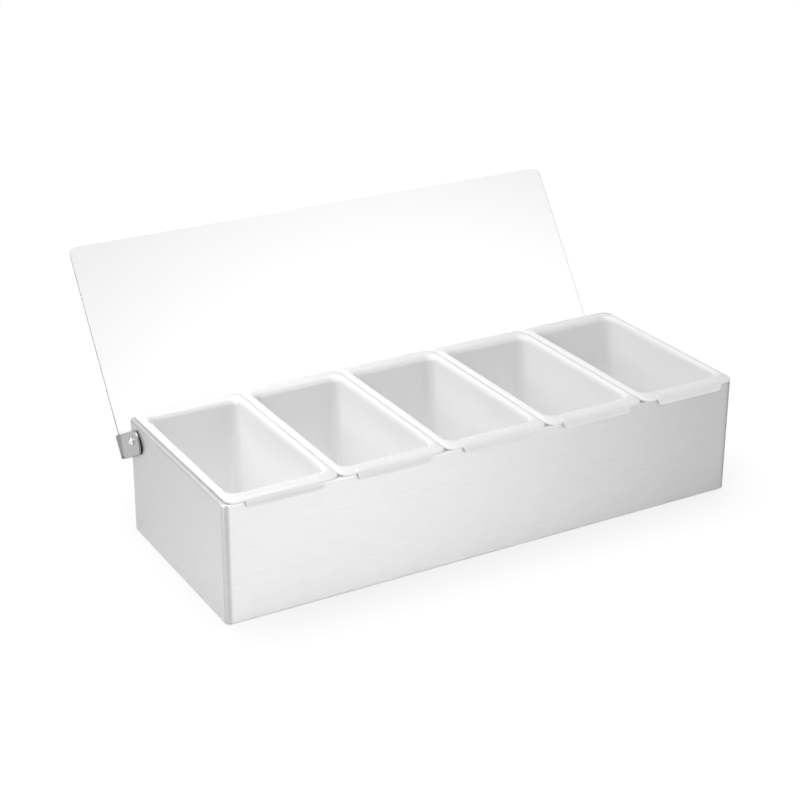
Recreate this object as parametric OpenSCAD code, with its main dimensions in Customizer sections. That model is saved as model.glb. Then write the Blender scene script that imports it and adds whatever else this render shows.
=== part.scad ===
// Bar-top condiment caddy: an open sheet-metal box that carries a row of lift-out
// plastic pans, under one clear lid that swings back on a riveted ear at each end.
// X runs along the row of pans, -Y is the front and Z is up. The origin is at the
// centre of the underside. The lid is drawn standing open. Lengths are in millimetres.

/* [Box] */
// Length of the box over its end walls
box_l = 475; // [440:1:560]
// Depth of the box from front wall to back wall
box_d = 181; // [160:1:220]
// Height of the box from the table to its top flange
box_h = 101; // [85:1:130]
// Thickness of the sheet steel
sheet_t = 1; // [0.8:0.1:1.2]
// Outside radius of the four upright corners
corner_r = 5; // [4:0.5:8]
// Outside radius of the folds along the top and bottom edges
fold_r = 1.8; // [1.5:0.1:2.2]
// Width of the top flange along the front and the back
long_flange = 11; // [9:0.5:13]
// Width of the return fold under the box that carries the floor plate
foot_return = 9; // [7:0.5:14]
// Gap between the floor plate and the folds around it
floor_fit = 0.1; // [0.05:0.05:0.3]
// Corner radius of the floor's sunk middle
dish_r = 12; // [6:1:30]

/* [Pans] */
// How much shorter the row of rims is than the box
rim_play = 3.2; // [2:0.1:4]
// Gap between the rims of neighbouring pans
pan_gap = 0.4; // [0.3:0.1:0.8]
// Gap between the last pan's rim and the hinge ear beside it
ear_side_gap = 0.4; // [0.3:0.1:1]
// How far the front and back rims reach past the walls of the box
rim_reach = 1; // [0.9:0.1:2]
// Gap between a pan's walls and the long flanges of the box
pan_fit = 0.8; // [0.5:0.1:1.5]
// Gap between the last pan's side wall and the end flange beside it
end_fit = 0.4; // [0.3:0.1:1]
// Gap between the pans and the floor plate
under_gap = 10; // [3:1:30]
// Wall thickness of a pan
pan_t = 1.8; // [1.5:0.1:2.2]
// Thickness of the rim at its outer edge
rim_t = 2.2; // [1.8:0.1:2.6]
// Height of the bead round the mouth above the flange it rests on
bead_h = 3.6; // [3:0.1:4.2]
// Where the bead is highest, as a share of the rim's width from its outer edge
crest = 0.62; // [0.55:0.01:0.7]
// Height of the roll from the bead down into the mouth
mouth_drop = 5.5; // [4:0.1:6]
// Corner radius of the rim
rim_r = 8; // [6:0.5:9]
// How far the side rims stand out past the pan's own walls
side_rim = 6; // [5.6:0.1:7]
// How far each wall of a pan leans in from top to bottom
draft = 3.6; // [2:0.1:6]
// Radius of a pan's upright inside corners
mouth_r = 8; // [6:0.5:12]
// Radius between the walls and the floor inside a pan
floor_r = 9; // [6:0.5:11]
// Width of the lip that hooks over the front and the back of the box
lip_w = 66; // [50:1:72]
// How far the lip hangs below the rim's seat
lip_drop = 4.8; // [4.6:0.1:8]
// Thickness of the lip
lip_t = 1.8; // [1.5:0.1:2.2]
// Gap between the lip and the wall that it hooks over
lip_gap = 0.7; // [0.5:0.1:1]
// Radius of the lip's lower corners
lip_corner = 4.4; // [2:0.1:4.5]
// Radius of the lip's upright edges, seen from above
lip_edge = 1; // [0.5:0.1:1.6]
// Width of the roll from the rim's top over to the lip's face
roll_w = 7; // [4:0.1:8]
// Height of the roll
roll_h = 4.8; // [3.8:0.1:5.4]
// How far the lip's top stays below the bead
lip_step = 0.1; // [0.05:0.05:0.3]

/* [Lid] */
// Thickness of the clear sheet
lid_t = 2.5; // [2:0.1:3]
// Distance from the pivots to the underside of the sheet
lid_height = 33.7; // [32:0.1:38]
// How far the closed sheet reaches past the front wall
lid_overhang = 8; // [6:0.5:12]
// How far the sheet carries on behind the pivots
lid_tail = 8; // [7:0.5:10]
// Radius of the sheet's free corners
lid_r = 8; // [4:0.5:14]
// Radius of the sheet's corners at the hinge
lid_tail_r = 2; // [1:0.5:4]
// How far the open lid leans back from upright
lid_lean = 35; // [30:1:40]

/* [Hinges] */
// Thickness of an ear
ear_t = 1.5; // [1.2:0.1:2]
// Width of an ear's strip
ear_w = 20; // [18:0.5:22]
// How far the middle of an ear's flange lies in front of the pivot
ear_mid = 2.6; // [1:0.1:4]
// How far the ear runs on past its pivot
ear_end = 14; // [10:0.5:15]
// Radius of the ear's free corners
ear_r = 8; // [4:0.5:8.5]
// Lean of the ear's strip away from square to the lid
ear_skew = 7.5; // [0:0.5:10]
// Inside radius of an ear's bends
ear_bend = 1; // [0.5:0.1:1.5]
// Length of the flange that lies on the sheet
flange_l = 24; // [21:0.5:32]
// Radius of the flange's free corners
flange_r = 3; // [1:0.5:6]
// Length of the stop tab that meets the back wall when the lid is open
stop_l = 7; // [6.5:0.5:9]
// Gap between the sheet and the stop tab
stop_clear = 1; // [0.5:0.5:3]
// Gap left between the stop tab and the back wall
stop_gap = 0.3; // [0.3:0.1:0.6]
// Width of the relief slots at the two ends of the stop tab's bend
stop_relief = 0.8; // [0.5:0.1:1.2]
// Gap between the ends of the sheet and the bends of the ears
sheet_fit = 0.2; // [0.1:0.1:0.5]
// Gap on each side of an ear where it turns
ear_gap = 0.2; // [0.15:0.05:0.4]
// Thickness of the spacer between an ear and the end wall
spacer_t = 1; // [0.8:0.1:2]
// Diameter of the spacers and washers on the pivots
washer_d = 9; // [8:0.5:12]
// Thickness of every washer
washer_t = 0.8; // [0.5:0.1:1]
// Distance of the pivots in front of the back wall
pivot_in = 11; // [10.5:0.5:12]
// Distance of the pivots below the top flange
pivot_down = 15.8; // [15:0.1:18]

/* [Rivets] */
// Diameter of the pivot rivets
pivot_d = 4; // [3:0.1:5]
// Radial clearance of an ear on its pivot rivet
pivot_fit = 0.08; // [0.05:0.01:0.1]
// Diameter of a pivot rivet's round head
pivot_head = 6.6; // [6.2:0.1:8]
// Height of a pivot rivet's round head
pivot_dome = 2.5; // [2:0.1:3]
// Height of a pivot rivet's closed tail
pivot_tail = 1.4; // [1:0.1:1.8]
// Diameter of the rivets that hold the sheet
lid_rivet_d = 3.2; // [2.5:0.1:4]
// Radial clearance of a fixed rivet in its hole
rivet_fit = 0.1; // [0.05:0.01:0.2]
// Diameter of a lid rivet's heads
lid_rivet_head = 6; // [5.5:0.1:7]
// Height of a lid rivet's heads
lid_rivet_dome = 1.5; // [1:0.1:2]
// Diameter of the washers under the sheet
lid_washer_d = 7.5; // [7:0.1:9]
// Distance of the first lid rivet from the ear
rivet_start = 7; // [6:0.5:8]
// Distance between the two lid rivets of one ear
rivet_step = 10; // [9.5:0.5:11]

/* [Hidden] */

$fn = 48;
STEEL = "silver";
BRIGHT_STEEL = "gainsboro";
PLASTIC = "white";
CLEAR = "lightblue";

// How far one solid runs into the next where the two are fused.
weld = 0.2;
// How far a cutter runs past the surface that it cuts.
cut = 1;

half_l = box_l / 2;
half_d = box_d / 2;

// Every pan of the row is the same moulding.
pan_count = 5;
pan_w = (box_l - rim_play - (pan_count - 1) * pan_gap) / pan_count;
pan_pitch = pan_w + pan_gap;
pan_d = box_d + 2 * rim_reach;
end_rim = rim_reach + long_flange + pan_fit;
pan_bottom = 2 * sheet_t + under_gap;

// An ear's inner face, measured out from the end wall.
ear_in = spacer_t + ear_gap;
// The row is pushed along until its last rim stands beside the right-hand ear.
row_shift = rim_play / 2 + ear_in - ear_side_gap;
// The end flanges stop short of the side wall of the pan that is nearest to its end.
end_flange = side_rim - (ear_in - ear_side_gap) - end_fit;

pivot_y = half_d - pivot_in;
pivot_z = box_h - pivot_down;
lid_reach = box_d - pivot_in + lid_overhang;
lid_half = half_l + ear_in - ear_bend - sheet_fit;
// The bend's start and the flange's two faces, measured from the pivot line.
bend_start = lid_height + lid_t - ear_bend;
flange_in = lid_height + lid_t;
flange_out = flange_in + ear_t;
// Width of the skewed strip where it runs into the square flange.
flange_w = ear_w / cos(ear_skew);
// Where the stop tab starts and ends, measured along the strip from its bend. It
// starts clear of the sheet and ends where it meets the back wall of the box.
stop_lean = lid_lean - ear_skew;
stop_from = (lid_t - ear_bend + stop_clear + ear_w / 2 * sin(ear_skew)) / cos(ear_skew);
stop_to = (ear_mid * sin(lid_lean) + bend_start * cos(lid_lean)
    - ear_w / 2 * sin(stop_lean) - pivot_in - stop_gap) / cos(stop_lean);

// ---------------------------------------------------------------- plain shapes

// A rectangle with its corner at the origin and all four corners rounded.
module round_rect(w, d, r) {
    translate([r, 0]) square([w - 2 * r, d]);
    translate([0, r]) square([w, d - 2 * r]);
    for (x = [r, w - r], y = [r, d - r])
        translate([x, y]) circle(r);
}

// A low round head on the plane z = 0, rising along +Z.
module dome(d, h) {
    ball_r = (d * d / 4 + h * h) / (2 * h);
    rotate_extrude() intersection() {
        translate([0, h - ball_r]) circle(ball_r);
        square([d, h]);
    }
}

module ring(outer_d, inner_d, h) {
    difference() {
        cylinder(d = outer_d, h = h);
        translate([0, 0, -cut]) cylinder(d = inner_d, h = h + 2 * cut);
    }
}

// ---------------------------------------------------------------- the box

// One wall in section: X is the distance in from the outside face. The same fold
// turns the sheet in under the top flange and in under the floor plate.
module wall_section(flange, foot) {
    difference() {
        union() {
            translate([fold_r, box_h / 2]) square([flange - fold_r, box_h / 2]);
            translate([fold_r, 0]) square([foot - fold_r, box_h / 2]);
            translate([0, fold_r]) square([fold_r, box_h - 2 * fold_r]);
            for (z = [fold_r, box_h - fold_r])
                translate([fold_r, z]) circle(fold_r);
        }
        translate([sheet_t, fold_r])
            square([flange + foot, box_h - 2 * fold_r]);
        translate([fold_r, sheet_t])
            square([flange + foot, box_h - 2 * sheet_t]);
        for (z = [fold_r, box_h - fold_r])
            translate([fold_r, z]) circle(fold_r - sheet_t);
    }
}

// A straight run of wall along X, with its outside face at y = 0, facing -Y.
module straight_wall(run, flange) {
    rotate([90, 0, 90])
        translate([0, 0, -run / 2])
            linear_extrude(run) wall_section(flange, foot_return);
}

// A quarter turn of wall round the centre of a corner.
module corner_wall() {
    rotate_extrude(angle = 90)
        translate([corner_r, 0])
            mirror([1, 0]) wall_section(corner_r, corner_r);
}

module wall_band() {
    run_l = box_l - 2 * corner_r;
    run_d = box_d - 2 * corner_r;
    color(STEEL) difference() {
        union() {
            for (turn = [0, 180])
                rotate([0, 0, turn]) translate([0, -half_d, 0])
                    straight_wall(run_l, long_flange);
            for (turn = [90, 270])
                rotate([0, 0, turn]) translate([0, -half_l, 0])
                    straight_wall(run_d, end_flange);
            for (sx = [0, 1], sy = [0, 1])
                mirror([sx, 0, 0]) mirror([0, sy, 0])
                    translate([half_l - corner_r, half_d - corner_r, 0]) {
                        corner_wall();
                        // The top flanges meet in one piece at the corner.
                        translate([-weld, -long_flange + corner_r, box_h - sheet_t])
                            cube([corner_r - end_flange + weld, long_flange - corner_r, sheet_t]);
                    }
        }
        for (side = [-1, 1])
            translate([side * half_l, pivot_y, pivot_z])
                rotate([0, 90, 0])
                    cylinder(d = pivot_d + 2 * rivet_fit, h = 2 * corner_r, center = true);
    }
}

// The floor's edge lies on the return folds. Its middle is pressed down between
// them by the thickness of the sheet, so that the underside stands level.
module floor_plate() {
    edge = fold_r + floor_fit;
    dish = foot_return + floor_fit;
    color(STEEL) difference() {
        union() {
            floor_slab(edge, corner_r - fold_r, sheet_t, sheet_t);
            floor_slab(dish, dish_r, 0, sheet_t + weld);
        }
        floor_slab(dish + sheet_t, dish_r - sheet_t, sheet_t, sheet_t + cut);
    }
}

// A slab over the whole floor, drawn in from the outside of the box by inset.
module floor_slab(inset, r, z, t) {
    translate([inset - half_l, inset - half_d, z])
        linear_extrude(t) round_rect(box_l - 2 * inset, box_d - 2 * inset, r);
}

// ---------------------------------------------------------------- the pans

ARC_STEPS = 7;
FILLET_STEPS = 5;
MOUTH_STEPS = 6;
ROLL_STEPS = 10;

// One closed outline of the pan: a rounded rectangle at height z, drawn in from
// the rim's outer edge by inset_x and inset_y, starting at its +X corner.
function outline(inset_x, inset_y, r, z) = [
    for (quarter = [0 : 3], step = [0 : ARC_STEPS])
        let (
            angle = 90 * (quarter + step / ARC_STEPS),
            sx = (quarter == 0 || quarter == 3) ? 1 : -1,
            sy = (quarter < 2) ? 1 : -1
        )
        [sx * (pan_w / 2 - inset_x - r) + r * cos(angle),
         sy * (pan_d / 2 - inset_y - r) + r * sin(angle), z]
];

// An outline on the rim: share 0 is its outer edge and share 1 the wall's face.
function rim_outline(share, rise) = outline(share * side_rim, share * end_rim,
    rim_r + share * (mouth_r + pan_t - rim_r), box_h + rise);

// The rim in section, from the underside of its outer edge up to the bead: each
// point's share of the rim's width and its height.
function rim_section() = [
    [0, 0],
    [0, rim_t * 0.5],
    [0.04, rim_t * 0.82],
    [0.12, rim_t],
    [crest * 0.45, bead_h * 0.75],
    [crest * 0.66, bead_h * 0.88],
    [crest * 0.83, bead_h * 0.96],
    [crest, bead_h]
];

// An outline on the roll from the bead down to the inside of the wall, where the
// roll has gone through the given angle.
function roll_outline(angle) =
    let (share = crest + (1 - crest) * sin(angle), t = pan_t * sin(angle))
    outline(share * side_rim + t, share * end_rim + t,
        rim_r + share * (mouth_r + pan_t - rim_r) - t,
        box_h + bead_h - mouth_drop * (1 - cos(angle)));

// An outline of a wall, stood off by t from the wall's outside face.
function wall_outline(t, lean, r, z) = outline(side_rim + t + lean, end_rim + t + lean, r, z);

// The outlines round a floor of fillet radius r, from the floor's flat up to the wall.
function floor_outlines(t, r, wall_r, z) = [
    for (step = [0 : FILLET_STEPS])
        let (angle = 90 * step / FILLET_STEPS)
        wall_outline(t + r * (1 - sin(angle)), draft,
            max(wall_r - r * (1 - sin(angle)), r / 4), z + r * (1 - cos(angle)))
];

function reversed(list) = [for (i = [len(list) - 1 : -1 : 0]) list[i]];

// The whole skin of a pan, from the middle of its underside, up the outside, over
// the rim and down the inside to the middle of its floor.
function pan_outlines() = concat(
    floor_outlines(0, floor_r, mouth_r + pan_t + draft, pan_bottom),
    [
        wall_outline(0, 0, mouth_r + pan_t, box_h),
        for (point = rim_section()) rim_outline(point[0], point[1]),
        for (step = [1 : MOUTH_STEPS]) roll_outline(90 * step / MOUTH_STEPS)
    ],
    reversed(floor_outlines(pan_t, floor_r - pan_t / 2, mouth_r + draft, pan_bottom + pan_t))
);

module pan_shell() {
    rings = pan_outlines();
    n = len(rings[0]);
    last = (len(rings) - 1) * n;
    points = [for (loop = rings) each loop];
    sides = [
        for (k = [0 : len(rings) - 2], i = [0 : n - 1])
            let (a = k * n + i, b = k * n + (i + 1) % n)
            [a, a + n, b + n, b]
    ];
    floor_under = [[for (i = [0 : n - 1]) i]];
    floor_top = [[for (i = [n - 1 : -1 : 0]) last + i]];
    polyhedron(points = points, faces = concat(sides, floor_under, floor_top));
}

// The lip in section: X is the distance out from the rim's outer edge. From the
// bead the rim rolls over in a quarter of an ellipse and hangs down as the lip.
module lip_section() {
    outer = lip_gap + lip_t - rim_reach;
    roll_in = outer - roll_w;
    roll_foot = bead_h - lip_step - roll_h;
    difference() {
        union() {
            translate([roll_in, roll_foot]) polygon([
                [0, 0],
                for (step = [0 : ROLL_STEPS])
                    let (angle = 90 * step / ROLL_STEPS)
                    [roll_w * cos(angle), roll_h * sin(angle)]
            ]);
            translate([roll_in, -lip_drop]) square([roll_w, lip_drop + roll_foot + weld / 2]);
            translate([-end_rim * crest, 0])
                square([end_rim * crest + roll_in + weld, bead_h - lip_step]);
        }
        // What is left free for the wall and its flange.
        translate([-end_rim, -lip_drop - cut])
            square([end_rim + outer - lip_t, lip_drop + cut + rim_t / 2]);
    }
}

// The lip seen from the front, with its lower corners rounded.
module lip_face() {
    translate([0, lip_corner]) square([lip_w, lip_drop + bead_h]);
    translate([lip_corner, 0]) square([lip_w - 2 * lip_corner, lip_corner + weld]);
    for (x = [lip_corner, lip_w - lip_corner])
        translate([x, lip_corner]) circle(lip_corner);
}

// The lip on the front of a pan.
module lip() {
    reach = pan_d / 2 + lip_gap + lip_t - rim_reach;
    intersection() {
        translate([0, -pan_d / 2, box_h])
            rotate([90, 0, -90])
                linear_extrude(lip_w, center = true) lip_section();
        translate([-lip_w / 2, 0, box_h - lip_drop])
            rotate([90, 0, 0])
                linear_extrude(pan_d) lip_face();
        translate([-lip_w / 2, -reach, box_h - lip_drop - cut])
            linear_extrude(lip_drop + bead_h + 2 * cut)
                round_rect(lip_w, reach, lip_edge);
    }
}

// Pan number i of the row, counted from the left.
module pan(i) {
    color(PLASTIC)
        translate([(i - (pan_count + 1) / 2) * pan_pitch + row_shift, 0, 0]) {
            pan_shell();
            lip();
            mirror([0, 1, 0]) lip();
        }
}

// ---------------------------------------------------------------- the lid

// Lid parts are drawn with the pivot line along X through the origin, +Y towards
// the free edge and the sheet below; this stands them open on the box.
module open_lid() {
    translate([0, pivot_y, pivot_z])
        rotate([90 - lid_lean, 0, 0]) children();
}

// The two rivet places of one ear, on the right-hand side.
module at_lid_rivets() {
    for (k = [0, 1])
        translate([half_l + ear_in - rivet_start - k * rivet_step, ear_mid, 0]) children();
}

module lid_outline() {
    translate([-lid_half, -lid_tail]) difference() {
        square([2 * lid_half, lid_reach + lid_tail]);
        for (x = [0, 2 * lid_half]) {
            corner_cut(x, lid_reach + lid_tail, lid_r);
            corner_cut(x, 0, lid_tail_r);
        }
    }
}

// What rounding takes off a square corner at (x, y) of the lid's outline.
module corner_cut(x, y, r) {
    dx = x == 0 ? 1 : -1;
    dy = y == 0 ? 1 : -1;
    difference() {
        translate([x + dx * r / 2 - dx * cut / 2, y + dy * r / 2 - dy * cut / 2])
            square(r + cut, center = true);
        translate([x + dx * r, y + dy * r]) circle(r);
    }
}

module lid_sheet() {
    color(CLEAR) open_lid() difference() {
        translate([0, 0, -flange_in]) linear_extrude(lid_t) lid_outline();
        for (side = [0, 1])
            mirror([side, 0, 0]) at_lid_rivets()
                translate([0, 0, -flange_out])
                    cylinder(d = lid_rivet_d + 2 * rivet_fit, h = flange_out);
    }
}

// The ear seen from the end of the box: X runs towards the lid's free edge and Y
// from the sheet towards the pivot, which is at the origin.
module ear_outline() {
    strip_l = ear_mid * sin(ear_skew) + bend_start * cos(ear_skew) + ear_end;
    difference() {
        translate([ear_mid, -bend_start]) rotate(ear_skew)
            translate([-ear_w / 2, 0]) {
                translate([0, -ear_w / 2]) square([ear_w, strip_l - ear_r + ear_w / 2]);
                translate([ear_r, 0]) square([ear_w - 2 * ear_r, strip_l]);
                for (x = [ear_r, ear_w - ear_r])
                    translate([x, strip_l - ear_r]) circle(ear_r);
            }
        translate([-2 * ear_w, -bend_start - 2 * ear_w]) square([4 * ear_w, 2 * ear_w]);
        circle(pivot_d / 2 + pivot_fit);
    }
    translate([ear_mid - flange_w / 2, -flange_out - cut])
        square([flange_w, flange_out + cut - bend_start]);
}

// A quarter bend in section, from the start of a leg along +Y to that of one along -X.
module bend_section() {
    outer = ear_bend + ear_t;
    difference() {
        intersection() {
            circle(outer);
            translate([0, -outer]) square(outer);
        }
        circle(ear_bend);
    }
    translate([ear_bend, 0]) square([ear_t, weld]);
    translate([-weld, -outer]) square([weld, ear_t]);
}

// The ear seen along its bend: the strip goes up and the flange goes in.
module ear_section() {
    translate([half_l + ear_in - ear_bend, -bend_start]) bend_section();
    translate([half_l + ear_in, -bend_start]) square([ear_t, bend_start + 2 * ear_end]);
    translate([half_l + ear_in - flange_l, -flange_out]) square([flange_l - ear_bend, ear_t]);
}

// What rounding takes off the flange's two free corners, in plan.
module flange_corners() {
    for (side = [-1, 1])
        translate([half_l + ear_in - flange_l, ear_mid + side * flange_w / 2])
            difference() {
                square(2 * flange_r, center = true);
                translate([flange_r, -side * flange_r]) circle(flange_r);
            }
}

// Places things along the strip's lower edge: Y runs across the strip from that
// edge and Z along it from the bend.
module at_ear_edge() {
    translate([half_l + ear_in, ear_mid, -bend_start])
        rotate([ear_skew, 0, 0])
            translate([0, -ear_w / 2, 0]) children();
}

// The tab folded in from the strip's lower edge. It meets the back wall of the box
// when the lid stands open.
module ear_stop() {
    at_ear_edge() translate([0, 0, stop_from]) {
        translate([-stop_l, 0, 0])
            cube([stop_l - ear_bend, ear_t, stop_to - stop_from]);
        translate([-ear_bend, ear_t + ear_bend, 0])
            linear_extrude(stop_to - stop_from) bend_section();
    }
}

// The right-hand ear: one strip of steel, bent over the sheet at one end.
module ear() {
    difference() {
        intersection() {
            translate([0, 2 * ear_w, 0])
                rotate([90, 0, 0]) linear_extrude(4 * ear_w) ear_section();
            rotate([90, 0, 90]) linear_extrude(half_l + ear_in + ear_t + cut) ear_outline();
        }
        translate([0, 0, -flange_out - cut])
            linear_extrude(ear_t + 2 * cut) flange_corners();
        at_lid_rivets()
            translate([0, 0, -flange_out - cut])
                cylinder(d = lid_rivet_d + 2 * rivet_fit, h = ear_t + 2 * cut);
        // The strip's square edge gives way to the bend of the stop tab.
        at_ear_edge() translate([-cut, -cut, stop_from - stop_relief])
            cube([ear_t + 2 * cut, cut + ear_t + ear_bend, stop_to - stop_from + 2 * stop_relief]);
    }
    ear_stop();
}

module right_ear() {
    color(BRIGHT_STEEL) open_lid() ear();
}

module left_ear() {
    color(BRIGHT_STEEL) open_lid() mirror([1, 0, 0]) ear();
}

// ---------------------------------------------------------------- pivots

// Things on the right-hand pivot are drawn along +Z from the end wall's face.
module at_pivot() {
    translate([half_l, pivot_y, pivot_z])
        rotate([0, 90, 0]) children();
}

module pivot_rivet() {
    head_z = ear_in + ear_t + ear_gap;
    tail_z = -sheet_t - washer_t;
    color(BRIGHT_STEEL) at_pivot() {
        translate([0, 0, tail_z - weld]) cylinder(d = pivot_d, h = head_z - tail_z + 2 * weld);
        translate([0, 0, head_z]) dome(pivot_head, pivot_dome);
        translate([0, 0, tail_z]) mirror([0, 0, 1]) dome(pivot_head, pivot_tail);
    }
}

module pivot_spacer() {
    color(STEEL) at_pivot() ring(washer_d, pivot_d + 2 * rivet_fit, spacer_t);
}

module pivot_washer() {
    color(STEEL) at_pivot()
        translate([0, 0, -sheet_t - washer_t])
            ring(washer_d, pivot_d + 2 * rivet_fit, washer_t);
}

// ---------------------------------------------------------------- lid rivets

module lid_rivets() {
    color(BRIGHT_STEEL) at_lid_rivets() {
        translate([0, 0, -flange_out - weld])
            cylinder(d = lid_rivet_d, h = ear_t + lid_t + washer_t + 2 * weld);
        translate([0, 0, -flange_out]) mirror([0, 0, 1]) dome(lid_rivet_head, lid_rivet_dome);
        translate([0, 0, -lid_height + washer_t]) dome(lid_rivet_head, lid_rivet_dome);
    }
}

module lid_washers() {
    color(STEEL) at_lid_rivets()
        translate([0, 0, -lid_height])
            ring(lid_washer_d, lid_rivet_d + 2 * rivet_fit, washer_t);
}

module left() {
    mirror([1, 0, 0]) children();
}

// ---------------------------------------------------------------- the caddy

wall_band();
floor_plate();
pan(1);  // pan_1
pan(2);  // pan_2
pan(3);  // pan_3
pan(4);  // pan_4
pan(5);  // pan_5
lid_sheet();
left_ear();
right_ear();
left() pivot_rivet();  // left_pivot_rivet
pivot_rivet();  // right_pivot_rivet
left() pivot_spacer();  // left_pivot_spacer
pivot_spacer();  // right_pivot_spacer
left() pivot_washer();  // left_pivot_washer
pivot_washer();  // right_pivot_washer
open_lid() left() lid_rivets();  // left_lid_rivets
open_lid() lid_rivets();  // right_lid_rivets
open_lid() left() lid_washers();  // left_lid_washers
open_lid() lid_washers();  // right_lid_washers
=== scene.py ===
# %% [markdown]
# # A bar-top condiment caddy
# The object is a long box of brushed stainless steel with five white plastic pans hung in
# its mouth, under one clear lid that stands open behind them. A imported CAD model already
# holds every piece at its real size. This notebook loads that model as a fixed frame, gives
# its pieces their finishes, and builds finer meshes for the box's walls and for the pans,
# where soft bends and moulded edges make the look.

# %% Load the frame
import math

import bpy
from mathutils import Matrix, Vector


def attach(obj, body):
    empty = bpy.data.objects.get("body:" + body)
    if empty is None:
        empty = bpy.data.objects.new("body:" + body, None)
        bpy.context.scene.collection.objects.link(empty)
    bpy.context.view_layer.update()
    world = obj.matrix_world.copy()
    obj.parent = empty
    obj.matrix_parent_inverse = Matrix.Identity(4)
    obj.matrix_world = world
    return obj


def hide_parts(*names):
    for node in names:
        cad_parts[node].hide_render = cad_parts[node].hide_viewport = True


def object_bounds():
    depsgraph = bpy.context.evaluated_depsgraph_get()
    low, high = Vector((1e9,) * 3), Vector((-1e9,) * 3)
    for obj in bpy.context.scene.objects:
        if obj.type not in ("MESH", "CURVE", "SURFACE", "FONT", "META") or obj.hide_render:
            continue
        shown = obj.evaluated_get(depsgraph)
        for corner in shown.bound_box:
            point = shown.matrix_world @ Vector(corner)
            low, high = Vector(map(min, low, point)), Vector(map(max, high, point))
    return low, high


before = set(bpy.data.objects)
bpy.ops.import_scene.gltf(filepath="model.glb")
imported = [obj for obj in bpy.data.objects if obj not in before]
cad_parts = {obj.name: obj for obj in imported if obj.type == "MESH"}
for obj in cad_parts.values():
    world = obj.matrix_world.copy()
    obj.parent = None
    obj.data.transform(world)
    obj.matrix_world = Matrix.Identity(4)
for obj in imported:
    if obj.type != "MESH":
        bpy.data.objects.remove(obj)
bpy.context.scene.view_settings.view_transform = "Standard"
cad_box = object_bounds()
mm = 0.001
print("CAD box:", [[round(v, 4) for v in corner] for corner in cad_box])

# %% [markdown]
# ## Camera
# A view like this is taken from a little above and from the front-left corner, with a long
# lens so that the box's edges stay nearly parallel. The camera could be aimed by eye at a
# target, but a box shows a wrong angle at once, so its place, its turn and its tilt are
# given as measured values. A small shift slides the frame without turning the lens.

# %% Camera
picture_px = 800
camera_place = Vector((-727.7, -1191.8, 719.1)) * mm
camera_turn = math.radians(28.54)
camera_tilt = math.radians(-21.98)
camera_roll = math.radians(-0.35)
focal_px = 1837.8
optical_centre_px = (352.2, 337.8)


def camera_axes():
    """The camera's right, up and forward directions, from its turn, its tilt and its roll."""
    forward = Vector((math.sin(camera_turn) * math.cos(camera_tilt),
                      math.cos(camera_turn) * math.cos(camera_tilt),
                      math.sin(camera_tilt)))
    level = forward.cross(Vector((0, 0, 1))).normalized()
    upright = level.cross(forward)
    right = level * math.cos(camera_roll) + upright * math.sin(camera_roll)
    up = upright * math.cos(camera_roll) - level * math.sin(camera_roll)
    return right, up, forward


def build_camera():
    data = bpy.data.cameras.new("camera")
    camera = bpy.data.objects.new("camera", data)
    bpy.context.scene.collection.objects.link(camera)
    bpy.context.scene.camera = camera
    right, up, forward = camera_axes()
    turn = Matrix((right, up, -forward)).transposed().to_4x4()
    camera.matrix_world = Matrix.Translation(camera_place) @ turn
    data.sensor_width = 36.0
    data.lens = focal_px / picture_px * data.sensor_width
    data.shift_x = (picture_px / 2 - optical_centre_px[0]) / picture_px
    data.shift_y = (optical_centre_px[1] - picture_px / 2) / picture_px
    data.clip_end = 50
    return data


lens = build_camera()
print("lens", round(lens.lens, 1), "mm, shift", round(lens.shift_x, 3), round(lens.shift_y, 3))

# %% [markdown]
# ## Small helpers
# Colours are picked as sRGB hex values, the way they look on a screen, but a shader mixes
# light in linear values, so one function turns the first into the second. An even grey has
# three equal channels, so two hex digits give it. Another function adds a shader node
# together with its settings and links. Real surfaces are never quite even, and a noise
# texture gives each finish its small changes. Most of its values lie between 0.3 and 0.7,
# so they are stretched to the range that a finish needs.

# %% Colour and node helpers
noise_low, noise_high = 0.3, 0.7


def linear(hex_colour):
    channels = [int(hex_colour[i:i + 2], 16) / 255 for i in (0, 2, 4)]
    return [c / 12.92 if c <= 0.04045 else ((c + 0.055) / 1.055) ** 2.4 for c in channels] + [1.0]


def grey(hex_pair):
    """The linear value of the even grey whose three channels are this pair of hex digits."""
    return linear(hex_pair * 3)[0]


def add_node(tree, kind, settings=None, values=None, links=None):
    """One node: settings are its properties, values and links go to its inputs by name."""
    node = tree.nodes.new(kind)
    for name, value in (settings or {}).items():
        setattr(node, name, value)
    for name, value in (values or {}).items():
        node.inputs[name].default_value = value
    for name, socket in (links or {}).items():
        tree.links.new(socket, node.inputs[name])
    return node


def new_material(name):
    material = bpy.data.materials.new(name)
    material.use_nodes = True
    material.node_tree.nodes.clear()
    return material, material.node_tree


def even_noise(tree, size, detail):
    """Noise on the piece itself, with grains of this size in every direction."""
    place = add_node(tree, "ShaderNodeTexCoord")
    return add_node(tree, "ShaderNodeTexNoise", values={"Scale": 1 / size, "Detail": detail},
                    links={"Vector": place.outputs["Object"]})


def between(tree, noise, low, high):
    """The noise's values, stretched so that most of them lie between low and high."""
    return add_node(tree, "ShaderNodeMapRange",
                    values={"From Min": noise_low, "From Max": noise_high,
                            "To Min": low, "To Max": high},
                    links={"Value": noise.outputs["Fac"]}).outputs["Result"]


def finish_material(material, shader):
    output = add_node(material.node_tree, "ShaderNodeOutputMaterial")
    material.node_tree.links.new(shader.outputs[0], output.inputs["Surface"])
    print("material", material.name, "with", len(material.node_tree.nodes), "nodes")
    return material


print("white paper is", [round(v, 3) for v in linear("f0f0f0")])

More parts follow.
